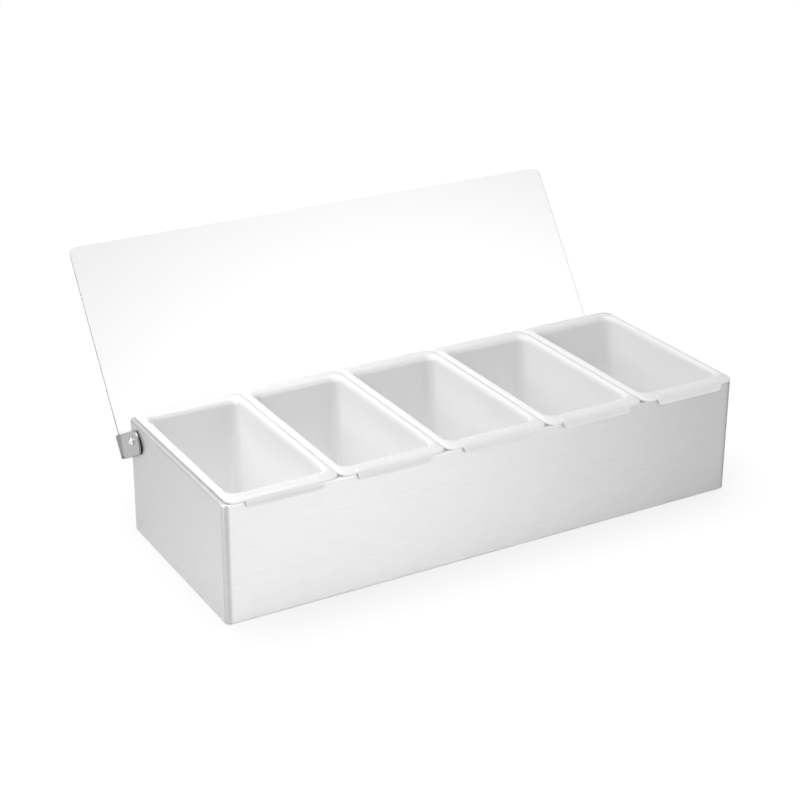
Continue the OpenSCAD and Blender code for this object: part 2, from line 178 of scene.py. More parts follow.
# %% [markdown]
# ## Scratches of brushed stainless steel
# The box is stainless sheet with a number 4 finish: an abrasive belt of about 150 grit has
# run along the coil and left fine level scratches. They blur reflections upwards and
# downwards far more than sideways. An image of scratches could be laid on, but it would
# stretch at the bends, so noise that is drawn out along the walls is used. Real scratches
# are about 0.03 mm apart, too fine to show from here, so they are drawn 0.9 mm apart.

# %% Level scratches
scratch_pitch = 0.9 * mm
scratch_length = 16 * mm
scratch_depth = 0.02 * mm


def level_scratches(tree):
    """Noise drawn out along X and Y, and fine along Z."""
    place = add_node(tree, "ShaderNodeTexCoord")
    per_metre = (1 / scratch_length, 1 / scratch_length, 1 / scratch_pitch)
    stretch = add_node(tree, "ShaderNodeMapping", values={"Scale": per_metre},
                       links={"Vector": place.outputs["Object"]})
    return add_node(tree, "ShaderNodeTexNoise",
                    values={"Scale": 1.0, "Detail": 4.0, "Roughness": 0.6},
                    links={"Vector": stretch.outputs["Vector"]})


def along_the_wall(tree):
    """The scratches' direction: level, and square to the surface's normal."""
    surface = add_node(tree, "ShaderNodeNewGeometry")
    level = add_node(tree, "ShaderNodeVectorMath", {"operation": "CROSS_PRODUCT"},
                     links={1: surface.outputs["Normal"]})
    level.inputs[0].default_value = (0, 0, 1)
    # A small step along X keeps the direction from vanishing on the flat flanges.
    along = add_node(tree, "ShaderNodeVectorMath", {"operation": "ADD"},
                     links={1: level.outputs["Vector"]})
    along.inputs[0].default_value = (0.03, 0, 0)
    return along.outputs["Vector"]


print("scratches drawn", round(scratch_pitch / mm, 1), "mm apart")

# %% [markdown]
# ## Painted shade on the steel
# The four bent corners are painted darker, most of all where they turn towards the ends of
# the box: a painted shade for the darker reflection in the bends. The flat flanges on top are
# painted darker too: a painted shade under the pans' rims. Both could be painted by hand on
# the mesh. A range of places and of surface directions says the same in two numbers, and it
# follows the piece when a size changes.

# %% Painted shade on corners and flanges
half_l, half_d, corner_r = 237.5, 90.5, 5.0
blend_half = 0.4
dull_streak, bright_streak = grey("d1"), grey("d9")
# Painted shade: the brightness kept on the bent corners and on the top flanges.
corner_shade_ahead, corner_shade_aside = 0.98, 0.70
flange_shade_share = 0.72


def beyond(tree, place, half, start):
    """0 along a wall and 1 from start millimetres before its end, on either side."""
    size = add_node(tree, "ShaderNodeMath", {"operation": "ABSOLUTE"}, links={0: place})
    return add_node(tree, "ShaderNodeMapRange", {"interpolation_type": "SMOOTHSTEP"},
                    {"From Min": (half - start - blend_half) * mm,
                     "From Max": (half - start + blend_half) * mm},
                    {"Value": size.outputs[0]}).outputs["Result"]


def bent_corner_mask(tree):
    """0 on the walls and 1 on the four bent corners."""
    place = add_node(tree, "ShaderNodeTexCoord")
    parts = add_node(tree, "ShaderNodeSeparateXYZ", links={"Vector": place.outputs["Object"]})
    near_end = beyond(tree, parts.outputs["X"], half_l, corner_r)
    near_side = beyond(tree, parts.outputs["Y"], half_d, corner_r - 2 * blend_half)
    return add_node(tree, "ShaderNodeMath", {"operation": "MULTIPLY"},
                    links={0: near_end, 1: near_side}).outputs[0]


def painted_steel_shade(tree):
    """Painted shade: the share of its brightness that the steel keeps on corners and flanges."""
    place = add_node(tree, "ShaderNodeTexCoord")
    facing = add_node(tree, "ShaderNodeSeparateXYZ", links={"Vector": place.outputs["Normal"]})
    sideways = add_node(tree, "ShaderNodeMath", {"operation": "ABSOLUTE"},
                        links={0: facing.outputs["X"]})
    kept = add_node(tree, "ShaderNodeMapRange",
                    values={"To Min": corner_shade_ahead, "To Max": corner_shade_aside},
                    links={"Value": sideways.outputs[0]})
    corner_shade = add_node(tree, "ShaderNodeMapRange", values={"To Min": 1.0},
                      links={"Value": bent_corner_mask(tree), "To Max": kept.outputs["Result"]})
    flange_shade = add_node(tree, "ShaderNodeMapRange",
                       values={"From Min": 0.85, "From Max": 0.98,
                               "To Min": 1.0, "To Max": flange_shade_share},
                       links={"Value": facing.outputs["Z"]})
    return add_node(tree, "ShaderNodeMath", {"operation": "MULTIPLY"},
                    links={0: corner_shade.outputs["Result"], 1: flange_shade.outputs["Result"]}).outputs[0]


def steel_colour(tree, scratches):
    """Even steel with faint streaks, and painted shade on its corners and flanges."""
    streak = between(tree, scratches, dull_streak, bright_streak)
    return add_node(tree, "ShaderNodeMath", {"operation": "MULTIPLY"},
                    links={0: streak, 1: painted_steel_shade(tree)}).outputs[0]


print("steel runs from", round(dull_streak, 2), "to", round(bright_streak, 2))

# %% [markdown]
# ## Brushed stainless steel
# The pieces above meet in one metal. Anisotropy stretches its highlights across the
# scratches, and the tangent says which way the scratches run.

# %% Brushed stainless steel


def brushed_stainless():
    material, tree = new_material("brushed_stainless_steel")
    scratches = level_scratches(tree)
    bump = add_node(tree, "ShaderNodeBump", values={"Strength": 0.04, "Distance": scratch_depth},
                    links={"Height": scratches.outputs["Fac"]})
    shader = add_node(tree, "ShaderNodeBsdfPrincipled",
                      values={"Metallic": 1.0, "Anisotropic": 0.85, "Anisotropic Rotation": 0.25},
                      links={"Base Color": steel_colour(tree, scratches),
                             "Roughness": between(tree, scratches, 0.40, 0.48),
                             "Normal": bump.outputs["Normal"],
                             "Tangent": along_the_wall(tree)})
    return finish_material(material, shader)


brushed_steel = brushed_stainless()

# %% [markdown]
# ## How the open lid leans
# The clear sheet and the ears that carry it lie in one slanted plane, which leans back from
# the upright. A few finishes need that plane's directions: the painted shade on the ears, the
# sawn edges of the sheet, and the light that shows in it. They could be measured on the mesh,
# but the angle and the top of the frame's box give them at once.

# %% Plane of the open lid
lid_lean = math.radians(35)
sheet_normal = Vector((0.0, -math.cos(lid_lean), math.sin(lid_lean)))
up_the_lid = Vector((0.0, math.sin(lid_lean), math.cos(lid_lean)))
lid_top = Vector((0.0, cad_box[1][1], cad_box[1][2]))
print("the lid's top edge is at", [round(v, 4) for v in lid_top])

# %% [markdown]
# ## Satin and polished stainless steel
# The ears are stamped from thicker strip and tumbled, which leaves an even satin with no
# direction. Beside the bend a darker strip is painted on, narrower towards the ear's foot: a
# painted shade for the bend's own shading. Rivets and washers are cold-formed in polished
# dies, so they are brighter and show sharper reflections. One recipe serves both, with painted
# shade that can be added. The tumbling's grain is a few hundredths of a millimetre across, and
# is drawn at 0.6 mm.

# %% Satin and polished stainless steel
tumble_grain = 0.6 * mm
tumble_depth = 0.02 * mm
bend_shade_slant = 0.28
bend_shade_start = 59 * mm
bend_shade_before, bend_shade_after = 1.5 * mm, 2.5 * mm
# The second colour is the painted shade in the strip beside the ears' bend.
satin_colour, bend_shade_colour = "a4", "79"


def painted_bend_shade(tree):
    """Satin steel with a painted shade strip beside the bend, on the ear's side faces.

    The strip's border starts bend_shade_start below the lid's top edge and leans by bend_shade_slant.
    """
    across = sheet_normal - bend_shade_slant * up_the_lid
    place = add_node(tree, "ShaderNodeTexCoord")
    from_bend = add_node(tree, "ShaderNodeVectorMath", {"operation": "DOT_PRODUCT"},
                         links={0: place.outputs["Object"]})
    from_bend.inputs[1].default_value = across
    start = lid_top.dot(across) + bend_shade_start
    strip = add_node(tree, "ShaderNodeMapRange", {"interpolation_type": "SMOOTHSTEP"},
                     {"From Min": start - bend_shade_before, "From Max": start + bend_shade_after,
                      "To Min": grey(bend_shade_colour), "To Max": grey(satin_colour)},
                     {"Value": from_bend.outputs["Value"]})
    facing = add_node(tree, "ShaderNodeSeparateXYZ", links={"Vector": place.outputs["Normal"]})
    sideways = add_node(tree, "ShaderNodeMath", {"operation": "ABSOLUTE"},
                        links={0: facing.outputs["X"]})
    shaded = add_node(tree, "ShaderNodeMapRange",
                      values={"From Min": 0.5, "From Max": 0.9, "To Min": grey(satin_colour)},
                      links={"Value": sideways.outputs[0], "To Max": strip.outputs["Result"]})
    return shaded.outputs["Result"]


def tumbled_stainless(name, colour, roughness, strength, painted_shade=None):
    material, tree = new_material(name)
    grain = even_noise(tree, tumble_grain, 3.0)
    blur = between(tree, grain, roughness - 0.05, roughness + 0.05)
    bump = add_node(tree, "ShaderNodeBump", values={"Strength": strength, "Distance": tumble_depth},
                    links={"Height": grain.outputs["Fac"]})
    shader = add_node(tree, "ShaderNodeBsdfPrincipled",
                      values={"Base Color": linear(colour * 3), "Metallic": 1.0},
                      links={"Roughness": blur, "Normal": bump.outputs["Normal"]})
    if painted_shade:
        tree.links.new(painted_shade(tree), shader.inputs["Base Color"])
    return finish_material(material, shader)


satin_steel = tumbled_stainless("satin_stainless_steel", satin_colour, 0.30, 0.10, painted_bend_shade)
polished_steel = tumbled_stainless("polished_stainless_steel", "d8", 0.16, 0.04)

# %% [markdown]
# ## White polypropylene
# The pans are injection-moulded in white polypropylene. The mould is polished, so the
# surface has a soft gloss, and light enters the plastic a little way before it comes back,
# which softens the shade inside the pans. Subsurface scattering gives that. Light also
# passes through the thin walls, so a real pan stays bright down to its floor. Letting every
# ray through would cost much time, so that light is painted in: the plastic is drawn a
# little paler with depth.

# %% White polypropylene
scatter_depth = 2.0 * mm
mould_ripple = 9 * mm
well_foot, well_top = 15 * mm, 90 * mm
rim_foot, rim_top = 97 * mm, 103 * mm
# Painted light: the plastic is drawn palest deep in the wells.
foot_colour, mouth_colour, rim_colour = grey("fd"), grey("f2"), grey("f8")


def painted_well_light(tree):
    """Painted light in the plastic's colour: palest deep in the wells, and pale again on the rims."""
    place = add_node(tree, "ShaderNodeTexCoord")
    height = add_node(tree, "ShaderNodeSeparateXYZ", links={"Vector": place.outputs["Object"]})
    well = add_node(tree, "ShaderNodeMapRange", {"interpolation_type": "SMOOTHSTEP"},
                    {"From Min": well_foot, "From Max": well_top,
                     "To Min": foot_colour, "To Max": mouth_colour},
                    {"Value": height.outputs["Z"]})
    rim = add_node(tree, "ShaderNodeMapRange",
                   values={"From Min": rim_foot, "From Max": rim_top,
                           "To Min": 0.0, "To Max": rim_colour},
                   links={"Value": height.outputs["Z"]})
    return add_node(tree, "ShaderNodeMath", {"operation": "MAXIMUM"},
                    links={0: well.outputs["Result"], 1: rim.outputs["Result"]}).outputs[0]


def white_polypropylene():
    material, tree = new_material("white_polypropylene_moulded")
    gloss = between(tree, even_noise(tree, mould_ripple, 2.0), 0.18, 0.22)
    shader = add_node(tree, "ShaderNodeBsdfPrincipled",
                      values={"IOR": 1.49, "Subsurface Weight": 0.35,
                              "Subsurface Scale": scatter_depth,
                              "Subsurface Radius": (1.0, 1.0, 1.0)},
                      links={"Base Color": painted_well_light(tree), "Roughness": gloss})
    return finish_material(material, shader)


pan_plastic = white_polypropylene()

# %% [markdown]
# ## Clear polycarbonate
# The lid is cut from extruded clear sheet. Its faces are as smooth as glass. Almost all that
# shows of it is the sawn edge, where light is trapped and comes out. Its colour is painted pale
# at the sides and grey along the top, a painted shade for the dark line along the top edge.
# One material holds both, and a surface that faces along the sheet's normal counts as a face.

# %% Clear polycarbonate
haze_size = 83.33 * mm


def facing_along(tree, toward):
    """How far a surface faces this way: 1 if it does, 0 if it stands across it."""
    place = add_node(tree, "ShaderNodeTexCoord")
    share = add_node(tree, "ShaderNodeVectorMath", {"operation": "DOT_PRODUCT"},
                     links={0: place.outputs["Normal"]})
    share.inputs[1].default_value = toward
    return share.outputs["Value"]


def on_sawn_edge(tree):
    """1 on the sheet's narrow sawn edges and 0 on its two faces."""
    size = add_node(tree, "ShaderNodeMath", {"operation": "ABSOLUTE"},
                    links={0: facing_along(tree, sheet_normal)})
    edge = add_node(tree, "ShaderNodeMapRange",
                    values={"From Min": 0.75, "From Max": 0.95, "To Min": 1.0, "To Max": 0.0},
                    links={"Value": size.outputs[0]})
    return edge.outputs["Result"]


def clear_polycarbonate():
    material, tree = new_material("clear_polycarbonate_sheet")
    haze = between(tree, even_noise(tree, haze_size, 2.0), 0.0, 0.03)
    face = add_node(tree, "ShaderNodeBsdfPrincipled",
                    values={"Base Color": linear("f9f9f9"), "IOR": 1.585,
                            "Transmission Weight": 1.0},
                    links={"Roughness": haze})
    # Painted shade: the sawn top edge is drawn grey.
    painted_edge_shade = add_node(tree, "ShaderNodeMapRange",
                    values={"From Min": 0.3, "From Max": 0.9,
                            "To Min": grey("f9"), "To Max": grey("aa")},
                    links={"Value": facing_along(tree, up_the_lid)})
    sawn = add_node(tree, "ShaderNodeBsdfTranslucent", links={"Color": painted_edge_shade.outputs["Result"]})
    shader = add_node(tree, "ShaderNodeMixShader",
                      links={0: on_sawn_edge(tree), 1: face.outputs[0], 2: sawn.outputs[0]})
    return finish_material(material, shader)


lid_plastic = clear_polycarbonate()

# %% [markdown]
# ## Finishes on the CAD pieces
# Pieces whose CAD shape is already right keep it and only get a finish. The sharp machined
# edges of the lid's sheet and of the ears would catch no light, so a bevel modifier breaks
# them by a few tenths of a millimetre, as a tumbled or hand-eased edge is.

# %% Dress the CAD pieces
sheet_edge, ear_edge = 0.25 * mm, 0.2 * mm
sharp_from = math.radians(40)


def dress(node, material, edge=0.0):
    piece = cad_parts[node]
    for slot in piece.material_slots:
        slot.material = material
    if not piece.material_slots:
        piece.data.materials.append(material)
    if edge:
        bevel = piece.modifiers.new("eased edges", "BEVEL")
        bevel.width = edge
        bevel.segments = 2
        bevel.limit_method = "ANGLE"
        bevel.angle_limit = sharp_from
    return piece


dress("floor_plate", brushed_steel)
dress("lid_sheet", lid_plastic, sheet_edge)
for hand in ("left", "right"):
    dress(hand + "_ear", satin_steel, ear_edge)
    for piece in ("pivot_rivet", "pivot_spacer", "pivot_washer", "lid_rivets", "lid_washers"):
        dress(hand + "_" + piece, polished_steel)
print("dressed", sum(1 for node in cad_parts.values() if node.material_slots), "pieces")

# %% [markdown]
# ## Lofts
# Both the box's walls and the pans are closed rings of one outline, stacked up or in. Such a
# shape could be sculpted from a cube with bevels, but a loft keeps each radius exact: an
# outline is a rectangle with round corners, each stop on the way round it is a column, and
# each outline of the stack is a row.

# %% Outlines
corner_steps = 10


def round_trip(straight_x, straight_y):
    """The columns of an outline: a side's number with a place along it, or a corner's angle."""
    columns = []
    for quarter in range(4):
        straight = straight_y if quarter % 2 == 0 else straight_x
        columns += [("side", quarter, t) for t in straight]
        columns += [("corner", quarter, step / corner_steps) for step in range(1, corner_steps)]
    return columns


def on_outline(column, half_x, half_y, radius):
    """A column's point on the rectangle with these half sizes and this corner radius."""
    kind, quarter, t = column
    run_x = half_x - radius
    run_y = half_y - radius
    if kind == "side":
        sides = (half_x, t * run_y), (-t * run_x, half_y), (-half_x, -t * run_y), (t * run_x, -half_y)
        return sides[quarter]
    angle = math.pi / 2 * (quarter + t)
    sign_x = 1 if quarter in (0, 3) else -1
    sign_y = 1 if quarter < 2 else -1
    return sign_x * run_x + radius * math.cos(angle), sign_y * run_y + radius * math.sin(angle)


def arc(centre, radius, start, end, steps):
    """Points round a centre from one angle to another, in degrees."""
    angles = [math.radians(start + (end - start) * i / steps) for i in range(steps + 1)]
    return [(centre[0] + radius * math.cos(a), centre[1] + radius * math.sin(a)) for a in angles]


print("an outline has", len(round_trip([-1, 1], [-1, 1])), "columns")

# %% [markdown]
# ## Skin of a loft
# Each pair of neighbouring rows is joined by a ring of four-sided faces. A section that
# comes back to where it began, as a sheet's does, joins its last row to its first. A solid
# moulding is closed by a face over its first row and one over its last.

# %% Loft


def loft(name, rows, closed):
    """A mesh through rows of points; closed joins the last row to the first."""
    count = len(rows[0])
    points = [point for row in rows for point in row]
    faces = []
    for r in range(len(rows) if closed else len(rows) - 1):
        here = r * count
        above = (r + 1) % len(rows) * count
        for i in range(count):
            after = (i + 1) % count
            faces.append((here + i, here + after, above + after, above + i))
    if not closed:
        faces.append(tuple(reversed(range(count))))
        faces.append(tuple(range(len(points) - count, len(points))))
    mesh = bpy.data.meshes.new(name)
    mesh.from_pydata(points, [], faces)
    mesh.shade_smooth()
    return mesh


def show(name, mesh):
    """An object with this mesh, linked to the scene."""
    piece = bpy.data.objects.new(name, mesh)
    bpy.context.scene.collection.objects.link(piece)
    return piece


print("a loft's corner is drawn in", corner_steps, "steps")

# %% [markdown]
# ## Walls of the box
# One strip of 1 mm sheet goes round the box. It is folded in at the top as a flange that
# carries the pans, and in at the bottom as a return that carries the floor. Its four corners
# are bent to a 5 mm radius. The loft's rows run once round the sheet's section: up the
# outside, over the top fold, in to the flange's edge, and back down the inside.

# %% Walls
box_h, sheet_t, fold_r = 101.0, 1.0, 1.8
end_flange, long_flange, foot_return = 4.8, 11.0, 9.0
flange_corner_r = 0.4
near_fold = 0.3
fold_steps = 6


def flange_row(share, inset_x, inset_y, z):
    """An outline on a flange: share 0 is at the fold and share 1 at its free edge."""
    radius = corner_r - fold_r
    return (fold_r + (inset_x - fold_r) * share, fold_r + (inset_y - fold_r) * share,
            radius + (flange_corner_r - radius) * share, z)


def fold_rows(z, outside, start, end):
    """Outlines round a fold whose centre is at height z, as angles from straight out."""
    turned = arc((fold_r, z), outside, start, end, fold_steps)
    return [(x, x, corner_r - x, height) for x, height in turned]


def wall_rows():
    """Rows of (inset along X, inset along Y, corner radius, height)."""
    inner_r = fold_r - sheet_t
    top, foot = box_h - fold_r, fold_r
    under = box_h - sheet_t
    rows = [(0, 0, corner_r, z) for z in (foot + near_fold, 20, 50, 80, top - near_fold)]
    rows += fold_rows(top, fold_r, 180, 90)
    rows += [flange_row(share, end_flange, long_flange, box_h) for share in (0.1, 0.5, 0.98, 1)]
    rows += [flange_row(share, end_flange, long_flange, under) for share in (1, 0.98, 0.1)]
    rows += fold_rows(top, inner_r, 90, 180)
    rows += [(sheet_t, sheet_t, corner_r - sheet_t, z) for z in (top - near_fold, foot + near_fold)]
    rows += fold_rows(foot, inner_r, 180, 270)
    rows += [flange_row(share, foot_return, foot_return, sheet_t) for share in (0.1, 0.98, 1)]
    rows += [flange_row(share, foot_return, foot_return, 0) for share in (1, 0.98, 0.1)]
    rows += fold_rows(foot, fold_r, 270, 180)
    return rows


def build_walls():
    columns = round_trip((-1, -0.99, 0, 0.99, 1), (-1, -0.98, 0, 0.98, 1))
    rows = []
    for inset_x, inset_y, radius, z in wall_rows():
        outline = [on_outline(c, half_l - inset_x, half_d - inset_y, radius) for c in columns]
        rows.append([(x * mm, y * mm, z * mm) for x, y in outline])
    walls = show("walls", loft("walls", rows, closed=True))
    walls.data.materials.append(brushed_steel)
    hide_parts("wall_band")
    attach(walls, "box")
    return walls


walls = build_walls()
print("walls:", len(walls.data.vertices), "points")

# %% [markdown]
# ## Sizes of a pan
# A pan is one moulding: a tapered tub, a flat rim with a raised bead round the mouth, and at
# the front and back a lip that rolls over the rim and hooks down outside the wall. All its
# sizes are in millimetres, apart from the shares of the rim's width, which say how far in
# from the rim's edge something lies.

# %% Sizes of a pan
pan_half_x, pan_half_y = 47.02, 91.5
pan_t, draft, floor_r, pan_floor = 1.8, 3.6, 9.0, 12.0
side_rim, end_rim, rim_t, rim_r = 6.0, 12.8, 2.2, 8.0
bead_h, mouth_drop, mouth_r = 3.6, 5.5, 8.0
edge_share, crest_share, bead_curve = 0.12, 0.62, 1.5
lip_half, lip_drop, lip_corner, lip_reach, lip_step = 33.0, 4.8, 4.4, 1.5, 0.1
roll_w, roll_h = 7.0, 4.8
roll_foot = bead_h - lip_step - roll_h
roll_share = (roll_w - lip_reach) / end_rim
fillet_steps, roll_steps, crest_steps = 8, 12, 4
print("a pan is", 2 * pan_half_x, "by", 2 * pan_half_y, "mm over its rim")

# %% [markdown]
# ## Tub of a pan
# The same rows serve the outside and the inside of the tub: a quarter circle from the floor
# to the wall, then the wall, which leans out so that the moulding leaves its mould. Each row
# of the loft has two versions, one for the plain rim and one for the lip. On the tub both
# are the same.

# %% Tub of a pan


def plain_row(inset_x, inset_y, radius, z):
    """A row without a lip: (inset_x, inset_y, corner radius, z, lip's inset_y, lip's z)."""
    return inset_x, inset_y, radius, z, inset_y, z


def wall_row(t, lean, radius, z):
    return plain_row(side_rim + t + lean, end_rim + t + lean, radius, z)


def tub_rows(t, fillet, wall_r, z):
    """Rows from a floor's flat up round its fillet and on up the leaning wall."""
    rows = []
    for step in range(fillet_steps + 1):
        angle = math.pi / 2 * step / fillet_steps
        shrink = fillet * (1 - math.sin(angle))
        rise = fillet * (1 - math.cos(angle))
        rows.append(wall_row(t + shrink, draft, max(wall_r - shrink, fillet / 4), z + rise))
    top = box_h + (bead_h - mouth_drop if t else 0)
    foot = z + fillet
    for share in (0.05, 0.35, 0.65, 0.95):
        height = foot + (top - foot) * share
        rows.append(wall_row(t, draft * (1 - share), wall_r - draft * share, height))
    return rows


outside = tub_rows(0, floor_r, mouth_r + pan_t + draft, pan_floor)
inside = tub_rows(pan_t, floor_r - pan_t / 2, mouth_r + draft, pan_floor + pan_t)
print("the tub has", len(outside), "rows outside and", len(inside), "inside")

# %% [markdown]
# ## Rim, bead and lip of a pan
# The rim's top rises in a soft curve from its rounded edge to the crest of the bead, and
# rolls down into the mouth. Along the lip the same rows run round the hook instead: up its
# inner face, round its lower edge, up its outer face and over the roll.

# %% Rim, bead and lip
# Each stop is the rim's inset, the lip's inset, the rim's height and the lip's height, with
# the heights taken from the flange.
lip_section = [(2.2, 2.2, 0.0, 0.0), (1.2, 0.4, 0.0, 0.0), (1.0, 0.3, 0.0, -0.2),
               (0.8, 0.3, 0.0, -4.1), (0.6, 0.2, 0.0, -4.6), (0.45, -0.1, 0.0, -4.8),
               (0.3, -0.9, 0.02, -4.8), (0.15, -1.3, 0.1, -4.7), (0.04, -1.48, 0.25, -4.45),
               (0.0, -1.5, 0.45, -4.0), (0.0, -1.5, 0.7, -2.6), (0.0, -1.5, 0.95, -1.6)]


def rim_place(share):
    """Insets and corner radius at a share of the rim's width."""
    return share * side_rim, share * end_rim, rim_r + share * (mouth_r + pan_t - rim_r)


def under_rim_rows():
    """The underside of the rim, and the inner face and edge of the lip."""
    return [(plain, plain, rim_r, box_h + z, lip, box_h + lip_z)
            for plain, lip, z, lip_z in lip_section]


def bead_height(share):
    """Height of the rim's top at a share of its width, from the rounded edge to the crest."""
    left = max(0.0, (crest_share - share) / (crest_share - edge_share))
    return rim_t + (bead_h - rim_t) * (1 - left ** bead_curve)


def roll_rows():
    """The rim's rounded edge and the start of its bead, and the lip's roll."""
    rows = []
    edge_r = rim_t * 0.5
    edge_steps = roll_steps // 2
    for step in range(roll_steps + 1):
        angle = math.pi / 2 * step / roll_steps
        lip_inset = roll_w - lip_reach - roll_w * math.cos(angle)
        lip_z = roll_foot + roll_h * math.sin(angle)
        if step <= edge_steps:
            turn = math.pi / 2 * step / edge_steps
            share = edge_share * (1 - math.cos(turn))
            z = rim_t - edge_r + edge_r * math.sin(turn)
        else:
            share = edge_share + (roll_share - edge_share) * (step - edge_steps) / edge_steps
            z = bead_height(share)
        inset_x, inset_y, radius = rim_place(share)
        rows.append((inset_x, inset_y, radius, box_h + z, lip_inset, box_h + lip_z))
    return rows


def bead_rows():
    """On up the bead to its crest, and down the roll into the mouth."""
    rows = []
    for step in range(1, crest_steps + 1):
        share = roll_share + (crest_share - roll_share) * step / crest_steps
        inset_x, inset_y, radius = rim_place(share)
        z = bead_height(share)
        lip_z = max(z, bead_h - lip_step)
        rows.append((inset_x, inset_y, radius, box_h + z, inset_y, box_h + lip_z))
    for step in range(1, roll_steps + 1):
        angle = math.pi / 2 * step / roll_steps
        inset_x, inset_y, radius = rim_place(crest_share + (1 - crest_share) * math.sin(angle))
        t = pan_t * math.sin(angle)
        rows.append(plain_row(inset_x + t, inset_y + t, radius - t,
                              box_h + bead_h - mouth_drop * (1 - math.cos(angle))))
    return rows


pan_rows = outside + under_rim_rows() + roll_rows() + bead_rows() + list(reversed(inside))
print("a pan has", len(pan_rows), "rows")

# %% [markdown]
# ## Ends of the lip
# The lip covers only the middle of the pan's front and back. Near its ends the columns of
# the loft stand close together, and the lip's version of a row gives way to the plain one
# within a millimetre, which leaves a crisp step. Its lower corners are rounded. Up to
# 34 mm from the middle the columns keep their places on every row, so that the lip's ends
# stay upright. Past that they spread out to meet the pan's corner.

# %% Ends of the lip
lip_end_r = 0.7
lip_free = 34.0
least_run = 0.6
hook_start = 0.5
lip_columns = (0, 12, 24, 28.6, 29.6, 30.5, 31.3, 31.9, 32.3, 32.5, 32.7, 32.85, 33, 33.3, 34,
               36, 39.02)


def lip_weight(x):
    """1 along the lip and 0 beyond its ends, with a short rounding between them."""
    if abs(x) >= lip_half:
        return 0.0
    past = max(0.0, abs(x) - (lip_half - lip_end_r)) / lip_end_r
    return math.sqrt(1 - past * past)


def lip_bottom(x):
    """Height of the lip's lower edge above the flange, so below 0."""
    into_corner = max(0.0, abs(x) - (lip_half - lip_corner)) / lip_corner
    return -lip_drop + lip_corner * (1 - math.sqrt(max(0.0, 1 - into_corner ** 2)))


def place_along(x, run):
    """Where a column at x of the longest row stands on a row of the half length run."""
    held = lip_free * min(1.0, (run - least_run) / lip_free)
    if abs(x) <= lip_free:
        return x * held / lip_free
    past = (abs(x) - lip_free) / (pan_half_x - rim_r - lip_free)
    return math.copysign(held + (run - held) * past, x)


print("the lip's lower edge is", lip_bottom(0), "mm from the flange")

# %% [markdown]
# ## Mesh of the pans
# All five pans are the same moulding, so they share one mesh. Each stands in its own place
# in the row and rides on its own body, because each can be lifted out.

# %% Pans
pan_pitch, row_shift = 94.44, 2.4


def pan_point(column, row):
    """A column's point on a row, in millimetres, with the lip mixed in on the long sides."""
    inset_x, inset_y, radius, z, lip_inset, lip_z = row
    kind, quarter, t = column
    half_x, half_y = pan_half_x - inset_x, pan_half_y - inset_y
    if kind == "corner" or quarter % 2 == 0:
        x, y = on_outline(column, half_x, half_y, radius)
        return x, y, z
    seat = box_h + hook_start
    hang = lip_z
    if lip_z < min(seat, z):
        hang = seat + (lip_z - seat) * (lip_bottom(t) - hook_start) / (-lip_drop - hook_start)
    weight = lip_weight(t)
    side = 1 if quarter == 1 else -1
    y = half_y + (inset_y - lip_inset) * weight
    return -side * place_along(t, half_x - radius), side * y, z + (hang - z) * weight


def build_pan_mesh():
    along = sorted({-x for x in lip_columns} | set(lip_columns))
    columns = round_trip(along, (-1, -0.97, -0.5, 0, 0.5, 0.97, 1))
    rows = [[tuple(v * mm for v in pan_point(c, row)) for c in columns] for row in pan_rows]
    mesh = loft("pan", rows, closed=False)
    mesh.materials.append(pan_plastic)
    return mesh


pan_mesh = build_pan_mesh()
for number in range(1, 6):
    pan = show("white_pan_" + str(number), pan_mesh)
    pan.location = (((number - 3) * pan_pitch + row_shift) * mm, 0, 0)
    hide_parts("pan_" + str(number))
    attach(pan, "pan_" + str(number))
print("pan:", len(pan_mesh.vertices), "points")

# %% [markdown]
# ## Floor
# The caddy stands on a sweep of matt white paint. A lit floor is never quite as bright as
# the white room behind it, and the seam between them would show. More light would burn out
# the pans, so the paint gets a glow instead, which depends on who looks. The camera sees a
# dark paint that the glow lifts to pure white, with the caddy's shadow kept. The steel and
# the pans see a pale paint with a weaker glow. Under and beside the caddy the floor is
# closed in, and ambient occlusion dims the glow there.

# %% Paint of the floor
pale_paint, lifted_grey = "e6e6e6", "303030"
pale_glow = 0.45
steel_glow = (0.0, 0.40)
camera_glow = (0.72, 1.0)
wide_reach, near_reach = 260 * mm, 75 * mm
lamp_side_full, lamp_side_none = -270 * mm, -140 * mm


def looked_at(tree, path):
    """1 for rays that come from the camera, straight or through the clear lid."""
    return add_node(tree, "ShaderNodeMath", {"operation": "MAXIMUM"},
                    links={0: path.outputs["Is Camera Ray"],
                           1: path.outputs["Is Transmission Ray"]}).outputs[0]


def glowing_paint(tree, colour, glow):
    """Paint with a glow added, as one number or as a socket where it varies over the floor."""
    paint = add_node(tree, "ShaderNodeBsdfDiffuse", values={"Color": linear(colour)})
    light = add_node(tree, "ShaderNodeEmission", values={"Color": linear("ffffff")})
    if isinstance(glow, float):
        light.inputs["Strength"].default_value = glow
    else:
        tree.links.new(glow, light.inputs["Strength"])
    return add_node(tree, "ShaderNodeAddShader", links={0: paint.outputs[0], 1: light.outputs[0]})


def dimmed_glow(tree, openness, strengths):
    """A glow with its first strength on closed-in floor and its second on open floor."""
    enclosed, open_floor = strengths
    glow = add_node(tree, "ShaderNodeMapRange", values={"To Min": enclosed, "To Max": open_floor},
                    links={"Value": openness})
    return glow.outputs["Result"]


def open_sky(tree, reach):
    """How open the floor is, looking no further than this reach."""
    sky = add_node(tree, "ShaderNodeAmbientOcclusion", {"samples": 3}, {"Distance": reach})
    return sky.outputs["AO"]


